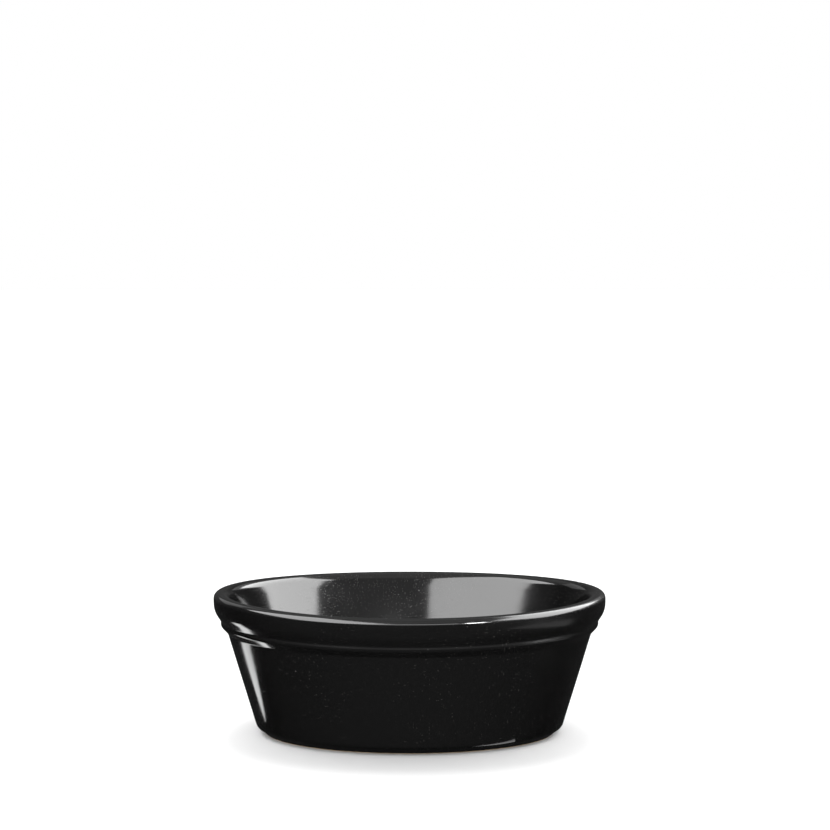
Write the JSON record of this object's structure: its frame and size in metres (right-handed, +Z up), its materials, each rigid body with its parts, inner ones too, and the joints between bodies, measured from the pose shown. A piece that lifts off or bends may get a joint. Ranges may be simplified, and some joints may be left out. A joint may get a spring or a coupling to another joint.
{
  "type": "oval pie dish",
  "caption": "Small oval pie dish: a tapered stoneware bowl with a heavy rounded rim band and a thin bead under it, black-glazed inside and out, standing on a bare flat foot ring.",
  "frame": {"origin": "middle of the foot's standing face, under the centre of the oval", "axes": "+X along the oval's length, +Y along its width away from the picture's viewer, +Z up"},
  "size_m": [0.152, 0.113, 0.0551],
  "materials": {
    "stoneware": "bare fired stoneware, matt",
    "black_glaze": "black gloss glaze with a faint grey fleck"
  },
  "bodies": {
    "root": {"stoneware_body": "stoneware", "glaze_coat": "black_glaze", "base_glaze": "black_glaze"}
  },
  "joints": []
}
